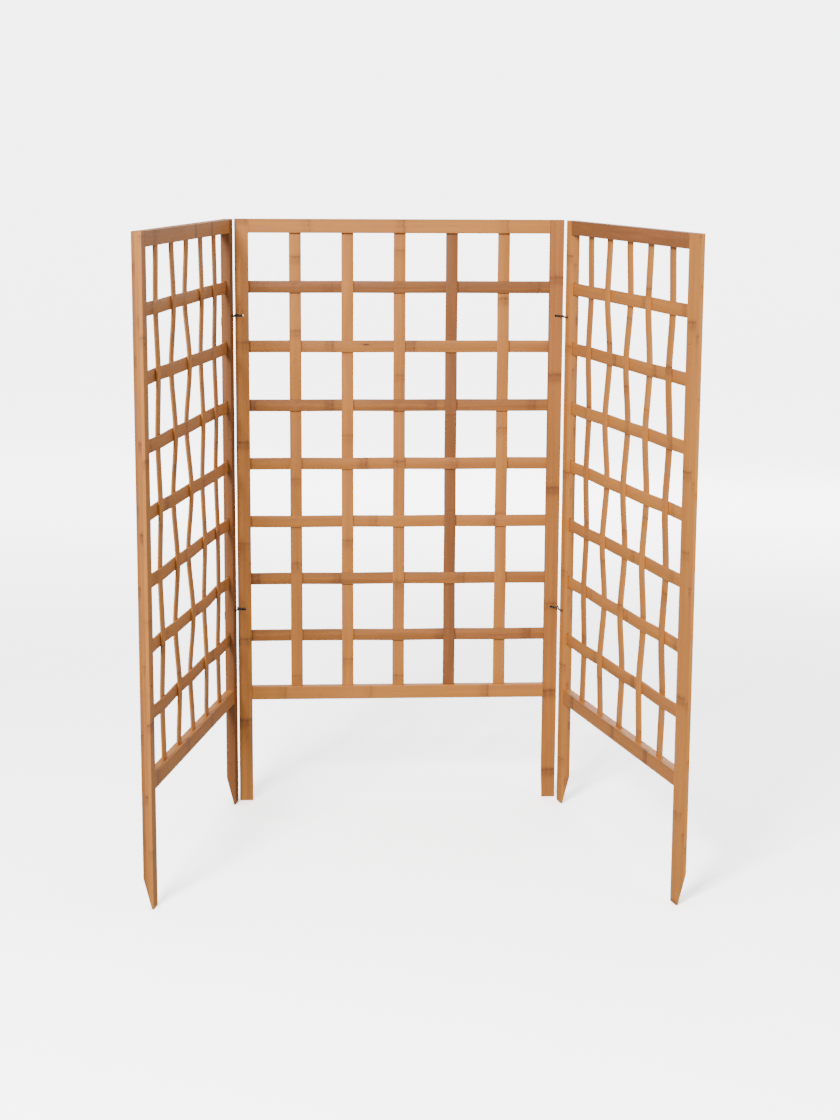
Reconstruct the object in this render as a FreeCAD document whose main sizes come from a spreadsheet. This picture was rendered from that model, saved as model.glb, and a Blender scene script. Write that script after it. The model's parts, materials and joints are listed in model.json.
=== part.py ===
"""Folding lattice screen: three woven bamboo panels linked edge to edge with wire loops.

Frame: +Z up, X along the centre panel, -Y towards the side that the outer panels fold to.
Origin: middle of the overall box, at the level of the feet.
"""
import FreeCAD, Part
import os
from math import cos, pi, radians, sin

import Sketcher
from FreeCAD import Placement, Rotation, Vector

# ---------------------------------------------------------------- driving dimensions (mm, degrees)
SIZES = [
    ("panel_width", 600.0, "overall width of one panel"),
    ("panel_height", 1092.0, "floor to the top of the stiles"),
    ("batten_thickness", 16.5, "stiles and rails, front to back"),
    ("stile_width", 25.0, "face width of a stile"),
    ("rail_height", 25.0, "face height of a rail"),
    ("leg_height", 197.0, "floor to the underside of the bottom rail"),
    ("foot_bevel", 52.0, "height of the long bevel on the back of a foot"),
    ("foot_edge", 3.0, "thickness left at the tip of a foot"),
    ("tenon_length", 12.0, "rail tenon into the stile"),
    ("tenon_height", 15.0, "rail tenon, bottom to top"),
    ("tenon_thickness", 6.0, "rail tenon, front to back"),
    ("tenon_gap", 0.1, "clearance all round a tenon in its mortise"),
    ("slat_width", 22.0, "face width of a slat"),
    ("slat_thickness", 3.2, "thickness of a slat"),
    ("slat_entry", 8.0, "reach of a slat end into its slot"),
    ("slot_end_gap", 1.0, "slot depth beyond the slat end"),
    ("slot_edge_gap", 0.9, "slot clearance at each edge of a slat"),
    ("slot_face_gap", 0.4, "slot clearance at each face of a slat"),
    ("weave_gap", 0.5, "air between two slats where they cross"),
    ("brad_radius", 0.8, "shank of a corner brad"),
    ("brad_length", 13.0, "corner brad, head included"),
    ("brad_head_radius", 1.5, "head of a corner brad"),
    ("brad_head_height", 0.8, "head of a corner brad"),
    ("brad_proud", 0.3, "height of a brad head above the wood"),
    ("link_hole_radius", 2.25, "hole for a wire link"),
    ("link_hole_inset", 13.0, "outer edge of a stile to the axis of its link holes"),
    ("upper_link_drop", 174.0, "top of the screen to the upper links"),
    ("lower_link_rise", 372.0, "floor to the lower links"),
    ("wire_radius", 1.0, "link wire"),
    ("wire_bend", 2.6, "radius of a bend, at the middle of the wire"),
    ("wire_standoff", 2.4, "middle of the wire to the wood that it runs along"),
    ("wire_spread", 1.1, "half the distance between the two legs in one hole"),
    ("wire_tail", 5.0, "reach of the link ends outside the side panel"),
    ("open_angle", 78.0, "turn of each side panel from flat, as the screen stands"),
    ("left_gap", 2.5, "opened flat, left panel edge to centre panel edge"),
    ("left_fold_gap", 3.0, "folded, left panel face to centre panel face"),
    ("left_shift", 3.0, "folded, left panel edge moved inwards"),
    ("right_gap", 1.5, "opened flat, right panel edge to centre panel edge"),
    ("right_step", 16.0, "opened flat, right panel face in front of the centre panel face"),
    ("right_shift", 6.0, "folded, right panel edge moved inwards"),
    ("stack_gap", 1.5, "both folded, right panel face to left panel back"),
]
UPRIGHTS = 5
CROSSES = 7

# The share of the weave's depth that each upright slat bows through, from the left edge of a panel.
# The cross slats bow through the rest.
WEAVE_SHARE = {
    "left": (0.40, 0.80, 1.00, 0.45, 0.35),
    "centre": (0.55, 0.60, 0.50, 0.65, 0.55),
    "right": (0.45, 0.85, 0.80, 0.70, 0.60),
}
# Crossings (upright, cross) where the hand weaving breaks the over-and-under rule.
WEAVE_SLIPS = {
    "left": {(5, 1), (5, 2), (5, 3), (5, 4), (5, 5)},
    "centre": {(1, 7)},
    "right": set(),
}

doc = FreeCAD.newDocument("lattice_screen")
sheet = doc.addObject("Spreadsheet::Sheet", "sizes")
for row, (alias, value, meaning) in enumerate(SIZES, start=1):
    sheet.set("A%d" % row, alias.replace("_", " "))
    sheet.set("B%d" % row, str(value))
    sheet.set("C%d" % row, meaning)
    sheet.setAlias("B%d" % row, alias)
doc.recompute()

size = {alias: float(sheet.get(alias)) for alias, _, _ in SIZES}
CELLS = {alias: "sizes." + alias for alias, _, _ in SIZES}


def formula(text):
    """An expression in which each {name} is a cell of the sheet."""
    return text.format(**CELLS)


# ---------------------------------------------------------------- places inside one panel
# X runs along the panel from its left edge, Y from its front face to its back, Z from the floor.
width = size["panel_width"]
height = size["panel_height"]
thickness = size["batten_thickness"]
stile = size["stile_width"]
rail = size["rail_height"]
slat = size["slat_width"]
mid_plane = thickness / 2
lattice_left = stile
lattice_right = width - stile
lattice_floor = size["leg_height"] + rail
lattice_top = height - rail
upright_pitch = (lattice_right - lattice_left + slat) / (UPRIGHTS + 1)
cross_pitch = (lattice_top - lattice_floor + slat) / (CROSSES + 1)
upright_x = [lattice_left - slat / 2 + upright_pitch * i for i in range(1, UPRIGHTS + 1)]
cross_z = [lattice_top + slat / 2 - cross_pitch * j for j in range(1, CROSSES + 1)]
link_z = {"upper": height - size["upper_link_drop"], "lower": size["lower_link_rise"]}

UPRIGHT_PITCH = formula("({panel_width} - 2 * {stile_width} + {slat_width}) / %d" % (UPRIGHTS + 1))
CROSS_PITCH = formula("({panel_height} - {leg_height} - 2 * {rail_height} + {slat_width}) / %d"
                      % (CROSSES + 1))


# ---------------------------------------------------------------- how the side panels swing
def fold(side):
    """The gap, step, folded gap and inward shift of a side panel."""
    if side == "left":
        return size["left_gap"], 0.0, size["left_fold_gap"], size["left_shift"]
    stacked = size["left_fold_gap"] + thickness + size["stack_gap"]
    return size["right_gap"], size["right_step"], stacked, size["right_shift"]


def fold_axis(side):
    """The vertical hinge axis, on the plan, with X measured outwards from the middle."""
    gap, step, folded, shift = fold(side)
    return Vector(width / 2 + gap - shift / 2, -(step + folded) / 2, 0)


def hinge_corner(side):
    """The hinged front corner of a side panel at the open angle, with X measured outwards."""
    gap, step, folded, shift = fold(side)
    angle = radians(size["open_angle"])
    across = shift / 2
    along = (folded - step) / 2
    turned = Vector(across * cos(angle) + along * sin(angle), along * cos(angle) - across * sin(angle), 0)
    return fold_axis(side) + turned


SIGN = {"left": -1, "right": 1}


def panel_placement(panel):
    """Where a panel stands, before the origin is moved to the middle of the whole screen."""
    if panel == "centre":
        return Placement(Vector(-width / 2, 0, 0), Rotation())
    corner = hinge_corner(panel)
    turn = Rotation(Vector(0, 0, 1), -SIGN[panel] * size["open_angle"])
    start = Vector(SIGN[panel] * corner.x, corner.y, 0)
    if panel == "left":
        start = start - turn.multVec(Vector(width, 0, 0))
    return Placement(start, turn)


# ---------------------------------------------------------------- sketches
def new_sketch(body, role, name):
    sketch = body.newObject("Sketcher::SketchObject", name)
    plane = next(f for f in body.Origin.OriginFeatures if f.Role == role)
    sketch.AttachmentSupport = (plane, [""])
    sketch.MapMode = "FlatFace"
    return sketch


def bind(sketch, kind, geometry, point, guess, text):
    """Measure a point from the sketch's origin and bind the distance to the sheet."""
    index = sketch.addConstraint(Sketcher.Constraint(kind, -1, 1, geometry, point, guess))
    sketch.setExpression("Constraints[%d]" % index, formula(text))


def add_outline(sketch, corners):
    """A closed outline. Each corner is its two guesses and the two formulas that place it."""
    first = sketch.GeometryCount
    count = len(corners)
    for i, corner in enumerate(corners):
        after = corners[(i + 1) % count]
        sketch.addGeometry(Part.LineSegment(Vector(*corner[:2], 0), Vector(*after[:2], 0)), False)
    for i in range(count):
        sketch.addConstraint(
            Sketcher.Constraint("Coincident", first + i, 2, first + (i + 1) % count, 1))
    for i, (across, up, across_text, up_text) in enumerate(corners):
        bind(sketch, "DistanceX", first + i, 1, across, across_text)
        bind(sketch, "DistanceY", first + i, 1, up, up_text)


def add_rectangle(sketch, low, high, low_text, high_text):
    add_outline(sketch, [
        (low[0], low[1], low_text[0], low_text[1]),
        (high[0], low[1], high_text[0], low_text[1]),
        (high[0], high[1], high_text[0], high_text[1]),
        (low[0], high[1], low_text[0], high_text[1]),
    ])


def add_circle(sketch, centre, radius, across_text, up_text, radius_text):
    index = sketch.addGeometry(Part.Circle(Vector(*centre, 0), Vector(0, 0, 1), radius), False)
    bind(sketch, "DistanceX", index, 3, centre[0], across_text)
    bind(sketch, "DistanceY", index, 3, centre[1], up_text)
    ring = sketch.addConstraint(Sketcher.Constraint("Radius", index, radius))
    sketch.setExpression("Constraints[%d]" % ring, formula(radius_text))


# ---------------------------------------------------------------- battens
def pad(body, sketch, length_text, name, away=False, both_ways=False):
    feature = body.newObject("PartDesign::Pad", name)
    feature.Profile = sketch
    feature.Reversed = away
    feature.SideType = "Symmetric" if both_ways else "One side"
    feature.setExpression("Length", formula(length_text))
    return feature


def pocket(body, sketch, depth_text, name, away=False):
    feature = body.newObject("PartDesign::Pocket", name)
    feature.Profile = sketch
    feature.Reversed = away
    feature.setExpression("Length", formula(depth_text))
    return feature


def drill(body, sketch, name):
    """Holes right through the thickness, whichever way the sketch faces."""
    feature = body.newObject("PartDesign::Pocket", name)
    feature.Profile = sketch
    feature.SideType = "Symmetric"
    feature.setExpression("Length", formula("4 * {batten_thickness}"))


def repeat(body, feature, axis_role, spacing_text, count, name, away=False):
    pattern = body.newObject("PartDesign::LinearPattern", name)
    axis = next(f for f in body.Origin.OriginFeatures if f.Role == axis_role)
    pattern.Originals = [feature]
    pattern.Direction = (axis, [""])
    pattern.Reversed = away
    pattern.Mode = "Spacing"
    pattern.Occurrences = count
    pattern.setExpression("Offset", formula(spacing_text))
    body.Tip = pattern


SLOT_DEPTH = "{slat_entry} + {slot_end_gap}"
SLOT_NEAR = "{batten_thickness} / 2 - {slat_thickness} / 2 - {slot_face_gap}"
SLOT_FAR = "{batten_thickness} / 2 + {slat_thickness} / 2 + {slot_face_gap}"
slot_near = mid_plane - size["slat_thickness"] / 2 - size["slot_face_gap"]
slot_far = mid_plane + size["slat_thickness"] / 2 + size["slot_face_gap"]
slot_half = slat / 2 + size["slot_edge_gap"]


def make_stile(name, right_hand):
    """A stile. Its own X = 0 is the edge that faces the lattice."""
    body = doc.addObject("PartDesign::Body", name)
    outline = new_sketch(body, "YZ_Plane", name + "_outline")
    add_outline(outline, [
        (0, 0, "0", "0"),
        (size["foot_edge"], 0, "{foot_edge}", "0"),
        (thickness, size["foot_bevel"], "{batten_thickness}", "{foot_bevel}"),
        (thickness, height, "{batten_thickness}", "{panel_height}"),
        (0, height, "0", "{panel_height}"),
    ])
    pad(body, outline, "{stile_width}", name + "_batten", away=not right_hand)

    mortises = new_sketch(body, "YZ_Plane", name + "_mortise_outline")
    near = mid_plane - size["tenon_thickness"] / 2 - size["tenon_gap"]
    far = mid_plane + size["tenon_thickness"] / 2 + size["tenon_gap"]
    near_text = "{batten_thickness} / 2 - {tenon_thickness} / 2 - {tenon_gap}"
    far_text = "{batten_thickness} / 2 + {tenon_thickness} / 2 + {tenon_gap}"
    half = size["tenon_height"] / 2 + size["tenon_gap"]
    centres = (
        (height - rail / 2, "{panel_height} - {rail_height} / 2"),
        (size["leg_height"] + rail / 2, "{leg_height} + {rail_height} / 2"),
    )
    for centre, centre_text in centres:
        add_rectangle(
            mortises, (near, centre - half), (far, centre + half),
            (near_text, centre_text + " - {tenon_height} / 2 - {tenon_gap}"),
            (far_text, centre_text + " + {tenon_height} / 2 + {tenon_gap}"))
    pocket(body, mortises, "{tenon_length} + {slot_end_gap}", name + "_mortises", away=right_hand)

    slot_outline = new_sketch(body, "YZ_Plane", name + "_slot_outline")
    top_text = "{panel_height} - {rail_height} + {slat_width} / 2 - " + CROSS_PITCH
    add_rectangle(
        slot_outline, (slot_near, cross_z[0] - slot_half), (slot_far, cross_z[0] + slot_half),
        (SLOT_NEAR, top_text + " - {slat_width} / 2 - {slot_edge_gap}"),
        (SLOT_FAR, top_text + " + {slat_width} / 2 + {slot_edge_gap}"))
    slot = pocket(body, slot_outline, SLOT_DEPTH, name + "_top_slot", away=right_hand)
    repeat(body, slot, "Z_Axis", CROSS_PITCH, CROSSES, name + "_slots", away=True)

    holes = new_sketch(body, "XZ_Plane", name + "_hole_outline")
    side = 1 if right_hand else -1
    hole_x = side * (stile - size["link_hole_inset"])
    hole_text = "%d * ({stile_width} - {link_hole_inset})" % side
    heights = (
        (link_z["upper"], "{panel_height} - {upper_link_drop}"),
        (link_z["lower"], "{lower_link_rise}"),
    )
    for level, level_text in heights:
        add_circle(holes, (hole_x, level), size["link_hole_radius"], hole_text, level_text,
                   "{link_hole_radius}")
    drill(body, holes, name + "_link_holes")
    return body


def make_rail(name, top):
    """A rail. Its own Z = 0 is the edge that faces the lattice, and X = 0 is its middle."""
    body = doc.addObject("PartDesign::Body", name)
    side = 1 if top else -1
    section = new_sketch(body, "YZ_Plane", name + "_section")
    add_rectangle(section, (0, 0), (thickness, side * rail),
                  ("0", "0"), ("{batten_thickness}", "%d * {rail_height}" % side))
    pad(body, section, "{panel_width} - 2 * {stile_width}", name + "_batten", both_ways=True)

    tenons = new_sketch(body, "YZ_Plane", name + "_tenon_section")
    middle_text = "%d * {rail_height} / 2" % side
    add_rectangle(
        tenons,
        (mid_plane - size["tenon_thickness"] / 2, side * rail / 2 - size["tenon_height"] / 2),
        (mid_plane + size["tenon_thickness"] / 2, side * rail / 2 + size["tenon_height"] / 2),
        ("{batten_thickness} / 2 - {tenon_thickness} / 2", middle_text + " - {tenon_height} / 2"),
        ("{batten_thickness} / 2 + {tenon_thickness} / 2", middle_text + " + {tenon_height} / 2"))
    pad(body, tenons, "{panel_width} - 2 * {stile_width} + 2 * {tenon_length}", name + "_tenons",
        both_ways=True)

    slot_outline = new_sketch(body, "XY_Plane", name + "_slot_outline")
    first = upright_x[0] - width / 2
    first_text = "-{panel_width} / 2 + {stile_width} - {slat_width} / 2 + " + UPRIGHT_PITCH
    add_rectangle(
        slot_outline, (first - slot_half, slot_near), (first + slot_half, slot_far),
        (first_text + " - {slat_width} / 2 - {slot_edge_gap}", SLOT_NEAR),
        (first_text + " + {slat_width} / 2 + {slot_edge_gap}", SLOT_FAR))
    slot = pocket(body, slot_outline, SLOT_DEPTH, name + "_first_slot", away=top)
    repeat(body, slot, "X_Axis", UPRIGHT_PITCH, UPRIGHTS, name + "_slots")
    return body


# ---------------------------------------------------------------- woven slats
def in_front(panel, upright, cross):
    """Whether the upright passes in front of the cross slat, both counted from 1."""
    plain = (upright + cross) % 2 == 1
    slipped = (upright, cross) in WEAVE_SLIPS[panel]
    return plain != slipped


def weave(panel, upright, cross, is_upright):
    """How far a slat bows off the middle plane where it crosses another, towards +Y."""
    depth = size["slat_thickness"] + size["weave_gap"]
    share = WEAVE_SHARE[panel][upright - 1]
    towards = -1 if in_front(panel, upright, cross) else 1
    return towards * depth * share if is_upright else -towards * depth * (1 - share)


def make_slat(name, span, crossings):
    """A slat along its own Z, bowed in Y through the crossings (distance from its mouth, bow) and
    level at each of them."""
    entry = size["slat_entry"]
    half = size["slat_thickness"] / 2
    line = [(-entry, 0.0), (0.0, 0.0)] + crossings + [(span, 0.0), (span + entry, 0.0)]
    level = [Vector(0, 0, 1)] * len(line)
    faces = []
    for offset in (-half, half):
        curve = Part.BSplineCurve()
        points = [Vector(-slat / 2, bow + offset, along) for along, bow in line]
        curve.interpolate(Points=points, Tangents=level, TangentFlags=[True] * len(line), Scale=True)
        faces.append(curve.toShape())
    ends = [
        Part.makeLine(faces[0].valueAt(faces[0].LastParameter), faces[1].valueAt(faces[1].LastParameter)),
        Part.makeLine(faces[0].valueAt(faces[0].FirstParameter), faces[1].valueAt(faces[1].FirstParameter)),
    ]
    profile = Part.Face(Part.Wire(Part.__sortEdges__(faces + ends)))
    feature = doc.addObject("Part::Feature", name)
    feature.Shape = profile.extrude(Vector(slat, 0, 0))
    return feature


# ---------------------------------------------------------------- corner brads
def make_brads(name):
    """Four brads, driven from the back through the rail tenons."""
    tenon = size["tenon_length"]
    top = height - rail / 2
    bottom = size["leg_height"] + rail / 2
    brads = []
    for corner, (x, z) in enumerate((x, z) for x in (stile - tenon / 2, width - stile + tenon / 2)
                                    for z in (bottom, top)):
        parts = []
        for part, radius, length in (("shank", "{brad_radius}", "{brad_length}"),
                                     ("head", "{brad_head_radius}", "{brad_head_height}")):
            cylinder = doc.addObject("Part::Cylinder", "%s_%s_%d" % (name, part, corner + 1))
            cylinder.setExpression("Radius", formula(radius))
            cylinder.setExpression("Height", formula(length))
            cylinder.Placement = Placement(Vector(x, thickness + size["brad_proud"], z),
                                           Rotation(Vector(1, 0, 0), 90))
            parts.append(cylinder)
        brad = doc.addObject("Part::MultiFuse", "%s_brad_%d" % (name, corner + 1))
        brad.Shapes = parts
        brads.append(brad)
    group = doc.addObject("Part::Compound", name)
    group.Links = brads
    return group


# ---------------------------------------------------------------- wire links
def rounded(points, radius):
    """Straight runs joined by tangent arcs of one radius."""
    edges = []
    start = points[0]
    for before, corner, after in zip(points, points[1:], points[2:]):
        back = (before - corner).normalize()
        ahead = (after - corner).normalize()
        half_turn = (radians(180) - back.getAngle(ahead)) / 2
        reach = radius * sin(half_turn) / cos(half_turn)
        middle = (back + ahead).normalize()
        enter = corner + back * reach
        leave = corner + ahead * reach
        apex = corner + middle * (radius / cos(half_turn) - radius)
        edges.append(Part.LineSegment(start, enter).toShape())
        edges.append(Part.Arc(enter, apex, leave).toShape())
        start = leave
    edges.append(Part.LineSegment(start, points[-1]).toShape())
    return Part.Wire(edges)


def link_route(side):
    """Corners of a link's route on the plan, X outwards, from one end outside the side panel
    through its hole, round the edge of the centre stile by way of that stile's hole, and back."""
    angle = radians(size["open_angle"])
    along = Vector(cos(angle), -sin(angle), 0)
    outward = Vector(sin(angle), cos(angle), 0)
    spread = size["wire_spread"]
    standoff = size["wire_standoff"]
    corner = hinge_corner(side)
    hole = corner + along * size["link_hole_inset"]
    near = hole - along * spread
    far = hole + along * spread
    beyond = outward * (thickness + size["wire_tail"])
    edge = width / 2
    hole_x = edge - size["link_hole_inset"]
    strand_gap = size["wire_radius"] / 2
    # Between the centre panel's edge and the side panel's corner the wire crosses the gap aslant.
    enter = Vector(edge + standoff, corner.y * 0.10, 0)
    leave = Vector(corner.x - standoff, corner.y * 0.95, 0)
    return [
        far + beyond,
        far - outward * (standoff + 2 * spread + strand_gap),
        leave - Vector(2 * size["wire_radius"] + strand_gap, 0, 0),
        Vector(hole_x, -standoff, 0),
        Vector(hole_x, thickness + standoff, 0),
        Vector(edge + standoff, thickness + standoff, 0),
        enter,
        leave,
        near - outward * standoff,
        near + beyond,
    ]


def make_link(name, side, level):
    points = [Vector(SIGN[side] * p.x, p.y, link_z[level]) for p in link_route(side)]
    path = rounded(points, size["wire_bend"])
    circle = Part.Circle(points[0], points[1] - points[0], size["wire_radius"])
    feature = doc.addObject("Part::Feature", name)
    feature.Shape = path.makePipeShell([Part.Wire(circle.toShape())], True, False)
    length = path.Length
    section = pi * size["wire_radius"] ** 2
    print("%s: wire %.1f mm, volume ratio %.4f" % (name, length, feature.Shape.Volume / section / length))
    return feature


# ---------------------------------------------------------------- the assembly
nodes = []


def place(feature, placement):
    feature.Placement = placement
    nodes.append(feature)


def build_panel(panel, left_stile, right_stile):
    at = panel_placement(panel)
    place(make_stile("%s_%s_stile" % (panel, left_stile), False),
          at.multiply(Placement(Vector(lattice_left, 0, 0), Rotation())))
    place(make_stile("%s_%s_stile" % (panel, right_stile), True),
          at.multiply(Placement(Vector(lattice_right, 0, 0), Rotation())))
    place(make_rail("%s_top_rail" % panel, True),
          at.multiply(Placement(Vector(width / 2, 0, lattice_top), Rotation())))
    place(make_rail("%s_bottom_rail" % panel, False),
          at.multiply(Placement(Vector(width / 2, 0, lattice_floor), Rotation())))
    for i, x in enumerate(upright_x, start=1):
        crossings = [(z - lattice_floor, weave(panel, i, j, True))
                     for j, z in reversed(list(enumerate(cross_z, start=1)))]
        place(make_slat("%s_upright_slat_%d" % (panel, i), lattice_top - lattice_floor, crossings),
              at.multiply(Placement(Vector(x, mid_plane, lattice_floor), Rotation())))
    for j, z in enumerate(cross_z, start=1):
        crossings = [(x - lattice_left, weave(panel, i, j, False)) for i, x in enumerate(upright_x, start=1)]
        place(make_slat("%s_cross_slat_%d" % (panel, j), lattice_right - lattice_left, crossings),
              at.multiply(Placement(Vector(lattice_left, mid_plane, z), Rotation(Vector(0, 1, 0), 90))))
    place(make_brads("%s_corner_brads" % panel), at)


build_panel("left", "outer", "inner")
build_panel("centre", "left", "right")
build_panel("right", "inner", "outer")
for side in ("left", "right"):
    for level in ("upper", "lower"):
        place(make_link("%s_%s_link" % (side, level), side, level), Placement())
doc.recompute()

box = Part.makeCompound([node.Shape for node in nodes]).optimalBoundingBox(False)
to_origin = Placement(Vector(-box.Center.x, -box.Center.y, -box.ZMin), Rotation())
for node in nodes:
    node.Placement = to_origin.multiply(node.Placement)
doc.recompute()

# ---------------------------------------------------------------- checks and files
for item in doc.Objects:
    if "Invalid" in item.State or "Error" in item.State:
        raise RuntimeError("%s did not compute: %s" % (item.Label, item.State))
for node in nodes:
    if node.Shape.isNull() or not node.Shape.isValid() or not node.Shape.Solids:
        raise RuntimeError("%s has no valid solid" % node.Label)

os.makedirs("parts", exist_ok=True)
for node in nodes:
    node.Shape.exportStep("parts/%s.step" % node.Label)
for side in ("left", "right"):
    axis = fold_axis(side)
    print("%s hinge axis at x %.3f, y %.3f" % (side, SIGN[side] * axis.x - box.Center.x,
                                               axis.y - box.Center.y))
print("%d nodes, box %.1f x %.1f x %.1f mm" % (len(nodes), box.XLength, box.YLength, box.ZLength))
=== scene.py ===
"""Looks of a folding lattice screen: bamboo battens, woven bamboo slats, steel brads and wire links."""
import json
import math
import random

import bmesh
import bpy
from bpy.props import FloatProperty, FloatVectorProperty, PointerProperty
from mathutils import Matrix, Vector


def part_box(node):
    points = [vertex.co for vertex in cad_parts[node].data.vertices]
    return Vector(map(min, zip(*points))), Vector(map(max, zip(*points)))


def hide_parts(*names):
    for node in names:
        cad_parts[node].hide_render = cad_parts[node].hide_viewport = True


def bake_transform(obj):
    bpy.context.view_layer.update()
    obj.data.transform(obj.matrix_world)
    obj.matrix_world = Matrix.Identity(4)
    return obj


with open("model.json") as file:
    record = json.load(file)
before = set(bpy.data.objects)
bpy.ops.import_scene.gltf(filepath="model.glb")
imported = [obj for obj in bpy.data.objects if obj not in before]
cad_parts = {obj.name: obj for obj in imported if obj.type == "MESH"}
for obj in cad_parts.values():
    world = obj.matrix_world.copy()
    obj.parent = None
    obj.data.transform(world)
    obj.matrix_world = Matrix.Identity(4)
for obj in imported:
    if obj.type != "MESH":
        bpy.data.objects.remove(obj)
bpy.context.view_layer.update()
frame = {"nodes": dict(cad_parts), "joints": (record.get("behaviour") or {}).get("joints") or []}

bl_info = {
    "name": "Lattice screen looks",
    "version": (1, 0, 0),
    "blender": (4, 5, 0),
    "location": "3D View > Sidebar > Lattice",
    "description": "Bamboo, steel and wire for a folding lattice screen, with a pale stage",
    "category": "Object",
}

SIDES = ("left", "right")
LEVELS = ("upper", "lower")


# ---------------------------------------------------------------- settings
class StageSettings(bpy.types.PropertyGroup):
    """The camera, the floor and the lights."""

    camera_place: FloatVectorProperty(
        name="Camera place", description="Where the camera stands", size=3,
        default=(-0.2029, -3.6330, 1.2213), subtype="TRANSLATION", unit="LENGTH")
    camera_turn: FloatProperty(
        name="Camera turn", description="Turn of the view to the right of +Y",
        default=math.radians(3.544), subtype="ANGLE")
    camera_tilt: FloatProperty(
        name="Camera tilt", description="Tilt of the view above the horizon",
        default=math.radians(-10.908), subtype="ANGLE")
    camera_roll: FloatProperty(
        name="Camera roll", description="Roll of the camera about its view",
        default=math.radians(0.328), subtype="ANGLE")
    lens: FloatProperty(
        name="Lens", description="Focal length on a 36 mm sensor, in millimetres", default=68.92)
    floor_gain: FloatProperty(
        name="Floor gain", description="How much more light the floor returns than white paint",
        default=3.3)
    near_glow: FloatProperty(
        name="Near glow", description="Light that the floor gives off beside the screen", default=0.1)
    far_glow: FloatProperty(
        name="Far glow", description="Light that the floor and walls give off far away", default=3.7)
    key_power: FloatProperty(
        name="Key light", description="Power of the light at the front left",
        default=262.0, subtype="POWER")
    fill_power: FloatProperty(
        name="Fill light", description="Power of the light at the right", default=34.0, subtype="POWER")
    fill_colour: FloatVectorProperty(
        name="Fill colour", description="Colour of the light at the right", size=3,
        default=(0.72, 0.86, 1.0), subtype="COLOR")
    top_power: FloatProperty(
        name="Top light", description="Power of the light overhead", default=45.0, subtype="POWER")
    back_power: FloatProperty(
        name="Back light", description="Power of the light behind the screen",
        default=60.0, subtype="POWER")
    sky_strength: FloatProperty(
        name="Sky strength", description="Strength of the white surroundings", default=0.44)


class BambooSettings(bpy.types.PropertyGroup):
    """Colours and details of the bamboo."""

    pale: FloatVectorProperty(
        name="Pale bamboo", description="Lightest strips", size=3,
        default=(0.680, 0.256, 0.041), subtype="COLOR")
    honey: FloatVectorProperty(
        name="Honey bamboo", description="Most of the bamboo", size=3,
        default=(0.515, 0.189, 0.034), subtype="COLOR")
    amber: FloatVectorProperty(
        name="Amber bamboo", description="Darkest and reddest strips", size=3,
        default=(0.280, 0.097, 0.024), subtype="COLOR")
    ring: FloatVectorProperty(
        name="Ring colour", description="Thin line where the cane had a joint", size=3,
        default=(0.085, 0.030, 0.012), subtype="COLOR")
    rosy: FloatVectorProperty(
        name="Rosy bamboo", description="Pinkish patches between the golden ones", size=3,
        default=(0.490, 0.160, 0.056), subtype="COLOR")
    ring_spacing: FloatProperty(
        name="Ring spacing", description="Usual distance between two joints of the cane",
        default=0.190, subtype="DISTANCE", unit="LENGTH")
    ply: FloatProperty(
        name="Ply", description="Thickness of one strip in a laminated batten",
        default=0.0055, subtype="DISTANCE", unit="LENGTH")
    batten_edge: FloatProperty(
        name="Batten edge", description="Width of the eased edge of a batten",
        default=0.0011, subtype="DISTANCE", unit="LENGTH")
    slat_edge: FloatProperty(
        name="Slat edge", description="Width of the eased edge of a slat",
        default=0.0005, subtype="DISTANCE", unit="LENGTH")
    varnish: FloatProperty(
        name="Varnish", description="Weight of the clear varnish", default=0.12, min=0.0, max=1.0)


class SteelSettings(bpy.types.PropertyGroup):
    """The wire links and the corner brads."""

    wire_radius: FloatProperty(
        name="Wire radius", description="Radius of the link wire",
        default=0.0009, subtype="DISTANCE", unit="LENGTH")
    hole_inset: FloatProperty(
        name="Hole inset", description="Edge of a stile to the middle of its link holes",
        default=0.013, subtype="DISTANCE", unit="LENGTH")
    twist_turns: FloatProperty(
        name="Twist turns", description="Turns in the twisted ends of a link", default=2.5)
    twist_pitch: FloatProperty(
        name="Twist pitch", description="Length of one turn of the twist",
        default=0.0052, subtype="DISTANCE", unit="LENGTH")
    wire_colour: FloatVectorProperty(
        name="Wire colour", description="Galvanised wire", size=3,
        default=(0.105, 0.095, 0.088), subtype="COLOR")
    brad_colour: FloatVectorProperty(
        name="Brad colour", description="Heads of the brads", size=3,
        default=(0.30, 0.28, 0.26), subtype="COLOR")


# ---------------------------------------------------------------- shader kit
class Term:
    """A number socket of a finish. Python's operators on it add Math nodes."""

    def __init__(self, finish, socket):
        self.finish = finish
        self.socket = socket

    def math(self, operation, *others):
        return self.finish.term("ShaderNodeMath", {"operation": operation},
                                dict(enumerate((self,) + others)))

    def __add__(self, other):
        return self.math("ADD", other)

    def __sub__(self, other):
        return self.math("SUBTRACT", other)

    def __rsub__(self, other):
        return self.finish.term("ShaderNodeMath", {"operation": "SUBTRACT"}, {0: other, 1: self})

    def __mul__(self, other):
        return self.math("MULTIPLY", other)

    def __truediv__(self, other):
        return self.math("DIVIDE", other)

    def __rtruediv__(self, other):
        return self.finish.term("ShaderNodeMath", {"operation": "DIVIDE"}, {0: other, 1: self})

    def __pow__(self, power):
        return self.math("POWER", power)

    __radd__ = __add__
    __rmul__ = __mul__

    def hump(self, half_width):
        """One where this term is zero, falling to a quarter at half_width on either side."""
        near = self / half_width
        return 1 / (1 + near * near) ** 2

    def limited(self):
        return self.math("MINIMUM", 1.0).math("MAXIMUM", 0.0)

    def above(self, low, high):
        """Zero below low, one above high, smooth between."""
        return self.finish.term(
            "ShaderNodeMapRange", {"interpolation_type": "SMOOTHSTEP"},
            {"Value": self, "From Min": low, "From Max": high})


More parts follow.
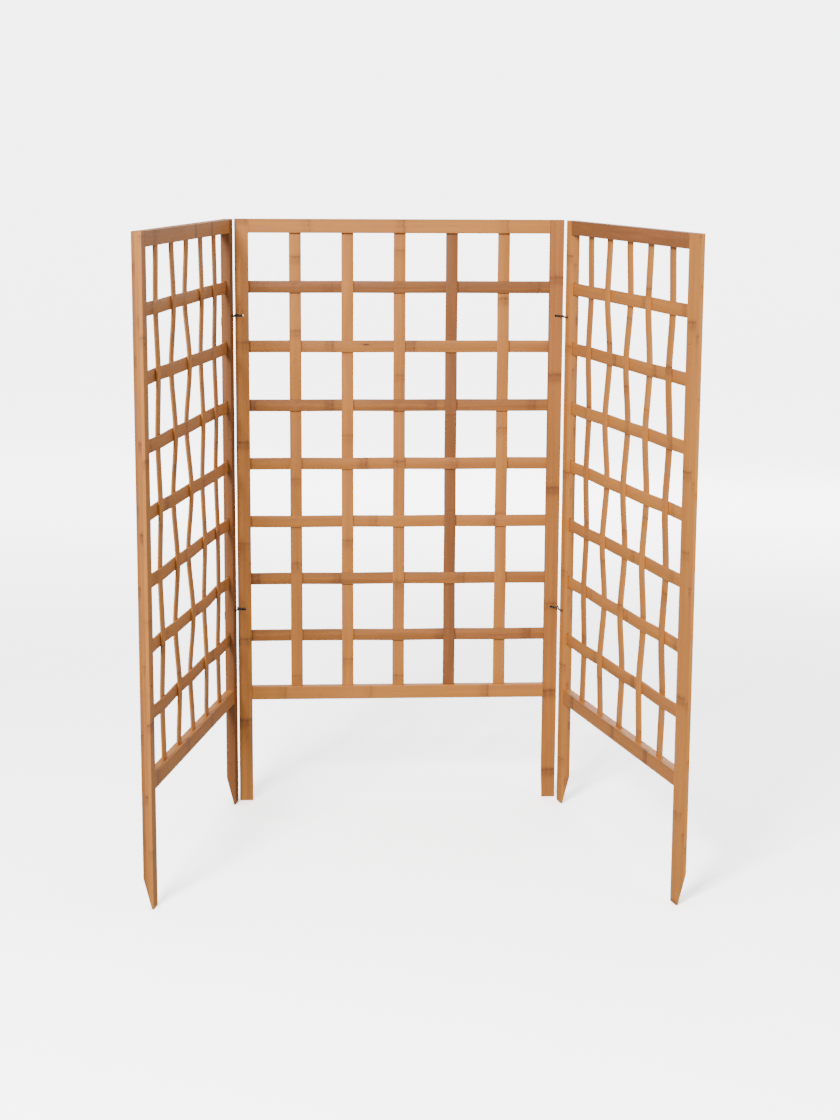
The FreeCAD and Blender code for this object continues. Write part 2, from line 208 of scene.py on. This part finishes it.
class Finish:
    """A material under construction, with a Principled shader."""

    def __init__(self, name, **constants):
        self.material = bpy.data.materials.new(name)
        self.material.use_nodes = True
        self.tree = self.material.node_tree
        self.shader = self.tree.nodes["Principled BSDF"]
        self.set(**constants)

    def set(self, **sockets):
        """Constants or links for the shader's own sockets, with _ for the blanks in their names."""
        for name, value in sockets.items():
            self.feed(self.shader.inputs[name.replace("_", " ")], value)

    def feed(self, socket, value):
        if isinstance(value, Term):
            value = value.socket
        if isinstance(value, bpy.types.NodeSocket):
            self.tree.links.new(value, socket)
        elif socket.type == "RGBA" and len(value) == 3:
            socket.default_value = (*value, 1.0)
        else:
            socket.default_value = value

    def node(self, kind, settings, sockets):
        """A node of any kind: its settings, then the values or links of its sockets."""
        made = self.tree.nodes.new(kind)
        for name, value in settings.items():
            setattr(made, name, value)
        for key, value in sockets.items():
            self.feed(made.inputs[key], value)
        return made

    def term(self, kind, settings, sockets, output=0):
        return Term(self, self.node(kind, settings, sockets).outputs[output])

    def mix(self, factor, first, second):
        """A colour between two colours."""
        made = self.node("ShaderNodeMix", {"data_type": "RGBA"}, {0: factor, 6: first, 7: second})
        return made.outputs[2]

    def combine(self, x, y, z):
        return self.node("ShaderNodeCombineXYZ", {}, {0: x, 1: y, 2: z}).outputs[0]

    def noise(self, vector, scale, detail=2.0, roughness=0.5):
        return self.term("ShaderNodeTexNoise", {},
                         {"Vector": vector, "Scale": scale, "Detail": detail, "Roughness": roughness})

    def chance(self, value):
        """An even random number for each whole value."""
        return self.term("ShaderNodeTexWhiteNoise", {"noise_dimensions": "1D"}, {"W": value})

    def measured(self, direction, start):
        """Distance along a direction from a start, in metres, on the object as it stands at rest."""
        place = self.node("ShaderNodeTexCoord", {}, {}).outputs["Object"]
        along = self.node("ShaderNodeVectorMath", {"operation": "DOT_PRODUCT"},
                          {0: place, 1: direction}).outputs["Value"]
        return Term(self, along) - start

    def bump(self, height, distance, strength=1.0):
        made = self.node("ShaderNodeBump", {},
                         {"Height": height, "Distance": distance, "Strength": strength})
        self.set(Normal=made.outputs[0])


# ---------------------------------------------------------------- panels
def open_angle(side):
    joint = next(j for j in frame["joints"] if j["name"].startswith(side))
    return math.radians(-joint["range_deg"][0])


def panel_axes(panel):
    """Unit vectors along a panel from its left edge, through it to its back, and up."""
    turn = {"left": 1, "centre": 0, "right": -1}[panel]
    angle = turn * open_angle(panel) if turn else 0.0
    along = Vector((math.cos(angle), math.sin(angle), 0.0))
    through = Vector((-math.sin(angle), math.cos(angle), 0.0))
    return along, through, Vector((0.0, 0.0, 1.0))


def reach(node, direction):
    """The lowest and highest place of a node along a direction."""
    places = [vertex.co.dot(direction) for vertex in frame["nodes"][node].data.vertices]
    return min(places), max(places)


def grain_axes(node):
    """A node's directions along the grain, across its face and through its thickness."""
    along, through, up = panel_axes(node.split("_")[0])
    lengthwise, across = (along, up) if ("rail" in node or "cross" in node) else (up, along)
    return lengthwise, across, through


# ---------------------------------------------------------------- bamboo
# How dark each piece is, where it differs from the usual: 0 for the palest, 1 and over for the
# darkest and reddest. The left panel's inner stile is made darker still as painted shade, for the shadow
# that its own lattice casts on it.
TONES_AND_PAINTED_SHADE = {
    "centre_left_stile": 0.46,
    "centre_right_stile": 0.48,
    "centre_top_rail": 0.26,
    "centre_bottom_rail": 0.06,
    "centre_upright_slat_1": 0.34,
    "centre_upright_slat_2": 0.30,
    "centre_upright_slat_3": 0.40,
    "centre_upright_slat_4": 1.20,
    "centre_upright_slat_5": 0.36,
    "centre_cross_slat_1": 0.92,
    "centre_cross_slat_2": 0.50,
    "centre_cross_slat_3": 0.78,
    "centre_cross_slat_4": 0.50,
    "centre_cross_slat_5": 0.34,
    "centre_cross_slat_6": 0.70,
    "centre_cross_slat_7": 0.76,
    "left_outer_stile": 0.60,
    "left_top_rail": 0.42,
    # Painted shade: the left inner stile is darkened for the shadow of its panel's lattice.
    "left_inner_stile": 1.25,
    "right_top_rail": 1.00,
}
USUAL_SHADE = 0.34
SHADE_SPREAD = 0.16

# Grain of each kind of marking: marks per metre along the piece, and across it.
STREAKS = (2.2, 150)
PATCHES = (5, 95)
FIBRES = (14, 1100)
TICKS = (70, 1900)
DRIFT = (4.5, 12)

# Half widths in metres of a ring's dark line, its smudge and the fainter shade beside it, with
# how far off that shade lies, how much a ring waves and how deep the grain is.
RING_LINE = 0.0016
RING_SMUDGE = 0.0052
RING_SHADOW = 0.0085
SHADOW_OFFSET = 0.009
RING_WAVE = 0.0060
GRAIN_DEPTH = 0.00018

# How far each kind of marking darkens the tone of a piece.
STREAK_TONE = 0.80
DRIFT_TONE = 0.45
PLY_TONE = 0.62
FIBRE_TONE = 0.42
MARK_TONE = 0.72

# Most that each layer of colour covers the one beneath.
ROSY_COVER = 0.32
TICK_COVER = 0.26
RING_COVER = 0.34

# Knots: distance along the piece, height across its face, length and width, in metres.
KNOTS = {
    "centre_cross_slat_2": ((0.222, 0.003, 0.0100, 0.0022),),
    "centre_upright_slat_4": ((0.423, -0.002, 0.0060, 0.0030),),
}


def bamboo(node, laminated):
    """The finish of one bamboo piece, with its own shade, rings and knots."""
    look = bpy.context.scene.bamboo_looks
    draw = random.Random(node)
    # The piece's own tone; for the left inner stile this also holds painted shade.
    shade = TONES_AND_PAINTED_SHADE.get(node, USUAL_SHADE + SHADE_SPREAD * (2 * draw.random() - 1))
    seed = draw.uniform(0, 50)
    finish = Finish("bamboo_" + node, Coat_Weight=look.varnish, Coat_Roughness=0.25,
                    Specular_IOR_Level=0.40)
    lengthwise, across, through = grain_axes(node)
    start = reach(node, lengthwise)[0]
    low, high = reach(node, across)
    front, back = reach(node, through)
    run = finish.measured(lengthwise, start)
    side = finish.measured(across, (low + high) / 2)
    depth = finish.measured(through, front)

    # A batten is glued up from plies, and each has its own shade and its own rings.
    ply = (depth / look.ply).math("FLOOR") if laminated else 0.0
    ply_shade = finish.chance(ply + seed) - 0.5

    def grain(kind, detail, roughness=0.5, side_shift=0.0, depth_shift=0.0):
        """A noise drawn out along the grain."""
        along_scale, across_scale = kind
        place = finish.combine(run * along_scale + seed, side * across_scale + side_shift,
                               depth * across_scale + depth_shift)
        return finish.noise(place, 1.0, detail, roughness)

    # Long soft streaks, rosy patches, fine fibres and short dark ticks.
    streak = grain(STREAKS, 3.0, depth_shift=ply * 9)
    patch = grain(PATCHES, 2.0, side_shift=ply * 5, depth_shift=seed)
    fibre = grain(FIBRES, 4.0, roughness=0.65)
    tick = grain(TICKS, 1.0)
    drift = grain(DRIFT, 2.0)

    # Rings: one in each stretch of the cane, a little off its middle and slightly wavy.
    stretch = run / look.ring_spacing + draw.random() + ply_shade * 1.3
    number = stretch.math("FLOOR")
    offset = (finish.chance(number * 3.7 + ply * 11 + seed) - 0.5) * 0.45
    wave = (finish.noise(finish.combine(side * 170, depth * 170, seed), 1.0, 3.0) - 0.5) * RING_WAVE
    from_ring = (stretch - number - 0.5 - offset) * look.ring_spacing + wave
    ring = from_ring.hump(RING_LINE)
    smudge = from_ring.hump(RING_SMUDGE)
    below = (from_ring + SHADOW_OFFSET).hump(RING_SHADOW)
    uneven = finish.noise(finish.combine(side * 210, depth * 210, number), 1.0, 2.0)
    bold = finish.chance(number * 5.3 + ply * 3 + seed) * 0.7 + 0.5
    mark = (smudge * (uneven * 1.1 - 0.05) + below * 0.42) * bold

    ply_tone = PLY_TONE if laminated else 0.0
    tone = shade + (streak - 0.5) * STREAK_TONE + (drift - 0.5) * DRIFT_TONE + ply_shade * ply_tone
    tone = tone + (fibre - 0.5) * FIBRE_TONE + mark * MARK_TONE
    body = finish.mix((tone * 2).limited(), look.pale, look.honey)
    body = finish.mix((tone * 2 - 1).limited(), body, look.amber)
    body = finish.mix(patch.above(0.48, 0.68) * ROSY_COVER, body, look.rosy)
    body = finish.mix(tick.above(0.60, 0.72) * TICK_COVER, body, look.ring)
    body = finish.mix((ring * uneven.above(0.25, 0.60) * bold * RING_COVER).limited(), body, look.ring)
    height = fibre * 0.35 + streak * 0.25 + ring * 0.8 + smudge * 0.5
    for knot_run, knot_side, length, breadth in KNOTS.get(node, ()):
        far = (run - knot_run) / length
        wide = (side - knot_side + (fibre - 0.5) * breadth) / breadth
        knot = (1 / (1 + far * far + wide * wide) ** 3).limited()
        body = finish.mix((knot * 1.25).limited(), body, look.ring)
        height = height - knot * 2.0
    finish.set(Base_Color=body, Roughness=(0.40 + fibre * 0.22 + tick * 0.08).limited())
    finish.bump(height, GRAIN_DEPTH)
    return finish.material


def dress(node, material):
    """Puts one finish on every slot of a node of the frame."""
    mesh = frame["nodes"][node].data
    if not mesh.materials:
        mesh.materials.append(material)
    for index in range(len(mesh.materials)):
        mesh.materials[index] = material


# Points closer than this are one, faces flatter than FLAT are joined, and edges sharper than SHARP
# are eased.
WELD_GAP = 0.00001
FLAT = math.radians(0.3)
SHARP = math.radians(40)


def ease_edges(node, width):
    """Rounds the sharp edges of a node with modifiers, and leaves its mesh as it is."""
    piece = frame["nodes"][node]
    weld = piece.modifiers.new("weld", "WELD")
    weld.merge_threshold = WELD_GAP
    flat = piece.modifiers.new("flat_faces", "DECIMATE")
    flat.decimate_type = "DISSOLVE"
    flat.angle_limit = FLAT
    bevel = piece.modifiers.new("eased_edges", "BEVEL")
    bevel.width = width
    bevel.segments = 2
    bevel.limit_method = "ANGLE"
    bevel.angle_limit = SHARP


def nodes_of(*words):
    """The frame's nodes whose names hold one of the words."""
    return [name for name in sorted(frame["nodes"]) if any(word in name for word in words)]


class LATTICE_OT_battens(bpy.types.Operator):
    """Finish the stiles and rails as laminated bamboo with eased edges"""

    bl_idname = "lattice.battens"
    bl_label = "Battens"

    def execute(self, context):
        for node in nodes_of("_stile", "_rail"):
            dress(node, bamboo(node, laminated=True))
            ease_edges(node, context.scene.bamboo_looks.batten_edge)
        return {"FINISHED"}


class LATTICE_OT_slats(bpy.types.Operator):
    """Finish the woven slats as single strips of bamboo"""

    bl_idname = "lattice.slats"
    bl_label = "Woven slats"

    def execute(self, context):
        for node in nodes_of("_slat_"):
            dress(node, bamboo(node, laminated=False))
            ease_edges(node, context.scene.bamboo_looks.slat_edge)
        return {"FINISHED"}


# ---------------------------------------------------------------- steel
def steel(name, colour, roughness, mottle, metallic=1.0):
    """Dull steel with a mottled surface."""
    finish = Finish(name, Metallic=metallic)
    place = finish.node("ShaderNodeTexCoord", {}, {}).outputs["Object"]
    spots = finish.noise(place, mottle, 3.0, 0.6)
    dark = [channel * 0.45 for channel in colour]
    finish.set(Base_Color=finish.mix(spots.above(0.35, 0.70), dark, colour),
               Roughness=roughness + (spots - 0.5) * 0.25)
    finish.bump(spots, 0.00005)
    return finish.material


class LATTICE_OT_brads(bpy.types.Operator):
    """Finish the corner brads as dull steel"""

    bl_idname = "lattice.brads"
    bl_label = "Corner brads"

    def execute(self, context):
        material = steel("brad_steel", context.scene.steel_looks.brad_colour,
                         roughness=0.42, mottle=900.0)
        for node in nodes_of("_brads"):
            dress(node, material)
        return {"FINISHED"}


def smooth_line(points, steps):
    """Points on a smooth line through the given ones, with the given number of steps in each run."""
    ends = [2 * points[0] - points[1]] + points + [2 * points[-1] - points[-2]]
    line = []
    for a, b, c, d in zip(ends, ends[1:], ends[2:], ends[3:]):
        for step in range(steps):
            t = step / steps
            line.append(0.5 * (2 * b + (c - a) * t + (2 * a - 5 * b + 4 * c - d) * t ** 2
                               + (3 * b - a - 3 * c + d) * t ** 3))
    return line + [points[-1]]


def wire_mesh(name, line, radius, sides=12):
    """A round wire along a line, with closed, slightly rounded ends."""
    mesh = bpy.data.meshes.new(name)
    build = bmesh.new()
    heading = (line[1] - line[0]).normalized()
    up = heading.orthogonal().normalized()
    rings = []
    for index, point in enumerate(line):
        ahead = line[min(index + 1, len(line) - 1)] - line[max(index - 1, 0)]
        ahead.normalize()
        up = (up - ahead * up.dot(ahead)).normalized()
        right = ahead.cross(up)
        size = radius * (0.72 if index in (0, len(line) - 1) else 1.0)
        rings.append([build.verts.new(point + size * (
            up * math.cos(2 * math.pi * k / sides) + right * math.sin(2 * math.pi * k / sides)))
            for k in range(sides)])
    for one, two in zip(rings, rings[1:]):
        for k in range(sides):
            build.faces.new((one[k], one[(k + 1) % sides], two[(k + 1) % sides], two[k]))
    build.faces.new(list(reversed(rings[0])))
    build.faces.new(rings[-1])
    bmesh.ops.recalc_face_normals(build, faces=build.faces)
    build.to_mesh(mesh)
    build.free()
    for face in mesh.polygons:
        face.use_smooth = len(face.vertices) == 4
    piece = bpy.data.objects.new(name, mesh)
    bpy.context.scene.collection.objects.link(piece)
    return piece


# Sizes of a wire link's route, in metres.
WIRE_AIR = 0.0004
TURN_RISE = 0.00095
TURN_DIP = 0.0010
RUN_STANDOFF = 0.0022
BEND_INSET = 0.0016
TWIST_DROP = 0.0030


def link_line(side, level):
    """The line of one wire link: from its twist through the side stile's hole to the centre stile,
    twice round that stile's edge by way of its hole, and back beside itself to the twist."""
    look = bpy.context.scene.steel_looks
    sign = -1 if side == "left" else 1
    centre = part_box("centre_%s_stile" % side)
    edge_x = centre[0].x if side == "left" else centre[1].x
    front_y, back_y = centre[0].y, centre[1].y
    low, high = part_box("%s_%s_link" % (side, level))
    z = (low.z + high.z) / 2
    along, through, _ = panel_axes(side)
    inner = "%s_inner_stile" % side
    hinge_edge = max(reach(inner, along)) if side == "left" else min(reach(inner, along))
    face, back = reach(inner, through)
    hole_at = hinge_edge + look.hole_inset * (-1 if side == "left" else 1)
    radius = look.wire_radius
    air = radius + WIRE_AIR

    def side_point(off_axis, depth, rise=0.0):
        """A point beside the axis of the side stile's hole, at a depth from its front face."""
        return along * (hole_at + off_axis) + through * (face + depth) + Vector((0, 0, z + rise))

    thickness = back - face
    outwards = 1 if side == "right" else -1
    near = -outwards * radius * 1.06
    far = -near
    hole_x = edge_x - sign * look.hole_inset
    twist_length = look.twist_turns * look.twist_pitch
    turns = 2 * math.pi * look.twist_turns
    steps = 10 * int(math.ceil(look.twist_turns))

    def twist(phase):
        """One strand of the twist, which hangs down the back of the side stile."""
        strand = []
        for step in range(steps + 1):
            share = step / steps
            angle = phase + turns * share
            strand.append(side_point(radius * 1.04 * math.cos(angle),
                                     thickness + radius * (2.3 + 1.04 * math.sin(angle)),
                                     -TWIST_DROP - twist_length * share))
        return strand

    first = twist(0.0 if far > 0 else math.pi)
    second = twist(math.pi if far > 0 else 0.0)
    cut = Vector((0, 0, -0.0028)) + through * 0.0006
    route = [first[-1] + cut + along * 0.0012 * outwards] + list(reversed(first))
    route += [side_point(far, thickness + radius * 1.2, -0.0006),
              side_point(far, thickness * 0.5, 0.0002),
              side_point(far, 0.0, 0.0004),
              side_point(far * 0.8, -0.0026, 0.0004)]
    corner = along * hinge_edge + through * face
    enter = Vector((edge_x + sign * RUN_STANDOFF, front_y + (corner.y - front_y) * 0.12, z - 0.0024))
    leave = Vector((corner.x - sign * RUN_STANDOFF, front_y + (corner.y - front_y) * 0.92, z - 0.0016))
    route.append(leave + Vector((-sign * 0.0024, 0.0, 0.0032)))
    for rise in (TURN_RISE, -TURN_RISE):
        # One turn: into the hole at the front, out at the back, and round the stile's edge.
        turn_z = z + rise
        edge_z = turn_z - TURN_DIP
        middle_y = (front_y + back_y) / 2
        route += [Vector((hole_x + sign * RUN_STANDOFF, front_y - air * 0.9, turn_z)),
                  Vector((hole_x, front_y + BEND_INSET, turn_z)),
                  Vector((hole_x, middle_y, turn_z)),
                  Vector((hole_x, back_y - BEND_INSET, turn_z)),
                  Vector((hole_x + sign * 0.0018, back_y + air * 0.8, turn_z)),
                  Vector((edge_x - sign * look.hole_inset * 0.4, back_y + air, turn_z - 0.0004)),
                  Vector((edge_x + sign * 0.0004, back_y + air * 0.7, turn_z - 0.0008)),
                  Vector((edge_x + sign * air, back_y - BEND_INSET, edge_z)),
                  Vector((edge_x + sign * air, middle_y, edge_z))]
        if rise > 0:
            # The first turn goes on round the front, back to the hole.
            route += [Vector((edge_x + sign * air, front_y + BEND_INSET, edge_z)),
                      Vector((edge_x - sign * 0.0002, front_y - air * 0.9, turn_z - 0.0012)),
                      Vector((edge_x - sign * look.hole_inset * 0.5, front_y - air, turn_z - 0.0018))]
    route += [enter, leave,
              side_point(near, -BEND_INSET, -0.0004),
              side_point(near, 0.0, -0.0002),
              side_point(near, thickness * 0.5, 0.0),
              side_point(near, thickness + radius * 1.2, -0.0006)]
    route += second + [second[-1] + cut - along * 0.0014 * outwards]
    return route


class LATTICE_OT_wire_links(bpy.types.Operator):
    """Bend the four wire links, with their ends twisted together behind the side panels"""

    bl_idname = "lattice.wire_links"
    bl_label = "Wire links"

    def execute(self, context):
        look = context.scene.steel_looks
        material = steel("galvanised_wire", look.wire_colour,
                         roughness=0.55, mottle=700.0, metallic=0.6)
        for side in SIDES:
            joint = next(j for j in frame["joints"] if j["name"].startswith(side))
            for level in LEVELS:
                name = "%s_%s_link" % (side, level)
                wire = wire_mesh(name + "_wire", smooth_line(link_line(side, level), 4), look.wire_radius)
                wire.data.materials.append(material)
                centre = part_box("centre_%s_stile" % side)
                edge_x = centre[0].x if side == "left" else centre[1].x
                pivot = Vector(joint["pos_m"])
                start = Vector((edge_x, centre[0].y, pivot.z))
                end = 2 * pivot - start
                end.z = start.z
                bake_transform(wire)
                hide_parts(name)
        return {"FINISHED"}


# ---------------------------------------------------------------- stage
# Where the lights point, and for each its place and its size, in metres.
MIDDLE = (0.0, 0.0, 0.55)
KEY = ((-1.62, -3.45, 2.75), (1.2, 1.2))
FILL = ((3.2, -1.6, 1.4), (2.4, 2.4))
BACK = ((1.2, 3.9, 2.2), (3.2, 2.4))
TOP = ((-0.4, 0.6, 3.4), (3.0, 3.0))


def area_light(name, stand, power, colour=(1.0, 1.0, 1.0)):
    """A lamp that stands at a place, has a size and points at the middle of the screen."""
    place, size = stand
    data = bpy.data.lights.new(name, "AREA")
    data.shape = "RECTANGLE"
    data.size, data.size_y = size
    data.energy = power
    data.color = colour
    lamp = bpy.data.objects.new(name, data)
    lamp.location = place
    lamp.rotation_euler = (Vector(MIDDLE) - Vector(place)).to_track_quat("-Z", "Y").to_euler()
    bpy.context.scene.collection.objects.link(lamp)


# Distances in metres from the middle between which the floor goes from its near to its far glow.
GLOW_REACH = (1.2, 5.0)


def cove():
    """A round white floor that curves up into a wall, and gives its light to the camera only."""
    look = bpy.context.scene.stage_looks
    flat, bend, wall = 9.0, 4.0, 12.0
    steps, sides = 10, 96
    profile = [(flat * share, 0.0) for share in (0.15, 0.4, 0.7, 1.0)]
    for step in range(1, steps + 1):
        angle = math.pi / 2 * step / steps
        profile.append((flat + bend * math.sin(angle), bend * (1 - math.cos(angle))))
    profile.append((flat + bend, wall))
    mesh = bpy.data.meshes.new("floor")
    build = bmesh.new()
    hub = build.verts.new((0, 0, 0))
    rings = [[build.verts.new((radius * math.cos(2 * math.pi * k / sides),
                               radius * math.sin(2 * math.pi * k / sides), height))
              for k in range(sides)] for radius, height in profile]
    for k in range(sides):
        build.faces.new((hub, rings[0][k], rings[0][(k + 1) % sides]))
        for inner, outer in zip(rings, rings[1:]):
            build.faces.new((inner[k], outer[k], outer[(k + 1) % sides], inner[(k + 1) % sides]))
    build.to_mesh(mesh)
    build.free()
    for face in mesh.polygons:
        face.use_smooth = True
    finish = Finish("floor_white", Roughness=1.0, Specular_IOR_Level=0.0, Emission_Strength=1.0,
                    Base_Color=(look.floor_gain,) * 3)
    place = finish.node("ShaderNodeTexCoord", {}, {}).outputs["Object"]
    away = finish.term("ShaderNodeVectorMath", {"operation": "LENGTH"}, {0: place}, "Value")
    finish.set(Emission_Color=finish.mix(away.above(*GLOW_REACH), (look.near_glow,) * 3,
                                         (look.far_glow,) * 3))
    mesh.materials.append(finish.material)
    floor = bpy.data.objects.new("floor", mesh)
    bpy.context.scene.collection.objects.link(floor)
    floor.visible_diffuse = False
    floor.visible_glossy = False
    return floor


class LATTICE_OT_stage(bpy.types.Operator):
    """Add the camera, a pale floor and soft studio light"""

    bl_idname = "lattice.stage"
    bl_label = "Stage"

    def execute(self, context):
        look = context.scene.stage_looks
        data = bpy.data.cameras.new("camera")
        data.sensor_width = 36.0
        data.lens = look.lens
        camera = bpy.data.objects.new("camera", data)
        camera.matrix_world = (Matrix.Translation(look.camera_place)
                               @ Matrix.Rotation(-look.camera_turn, 4, "Z")
                               @ Matrix.Rotation(math.pi / 2 + look.camera_tilt, 4, "X")
                               @ Matrix.Rotation(look.camera_roll, 4, "Z"))
        context.scene.collection.objects.link(camera)
        context.scene.camera = camera

        floor = cove()

        area_light("key_light", KEY, look.key_power)
        area_light("fill_light", FILL, look.fill_power, look.fill_colour)
        area_light("back_light", BACK, look.back_power)
        area_light("top_light", TOP, look.top_power)
        world = bpy.data.worlds.new("white_room")
        world.use_nodes = True
        sky = world.node_tree.nodes["Background"]
        sky.inputs["Color"].default_value = (1.0, 1.0, 1.0, 1.0)
        sky.inputs["Strength"].default_value = look.sky_strength
        context.scene.world = world
        return {"FINISHED"}


# ---------------------------------------------------------------- panel and registration
STEPS = (LATTICE_OT_stage, LATTICE_OT_battens, LATTICE_OT_slats, LATTICE_OT_brads, LATTICE_OT_wire_links)


class VIEW3D_PT_lattice(bpy.types.Panel):
    """Buttons for each group of pieces, and their settings"""

    bl_label = "Lattice screen"
    bl_idname = "VIEW3D_PT_lattice"
    bl_space_type = "VIEW_3D"
    bl_region_type = "UI"
    bl_category = "Lattice"

    def draw(self, context):
        for step in STEPS:
            self.layout.operator(step.bl_idname)
        for group in (context.scene.stage_looks, context.scene.bamboo_looks, context.scene.steel_looks):
            box = self.layout.box()
            for name in group.__annotations__:
                box.prop(group, name)


CLASSES = (StageSettings, BambooSettings, SteelSettings) + STEPS + (VIEW3D_PT_lattice,)


def register():
    for cls in CLASSES:
        bpy.utils.register_class(cls)
    bpy.types.Scene.stage_looks = PointerProperty(type=StageSettings)
    bpy.types.Scene.bamboo_looks = PointerProperty(type=BambooSettings)
    bpy.types.Scene.steel_looks = PointerProperty(type=SteelSettings)


def unregister():
    del bpy.types.Scene.steel_looks
    del bpy.types.Scene.bamboo_looks
    del bpy.types.Scene.stage_looks
    for cls in reversed(CLASSES):
        bpy.utils.unregister_class(cls)


def main():
    register()
    bpy.ops.lattice.stage()
    bpy.ops.lattice.battens()
    bpy.ops.lattice.slats()
    bpy.ops.lattice.brads()
    bpy.ops.lattice.wire_links()


if __name__ == "__main__":
    main()
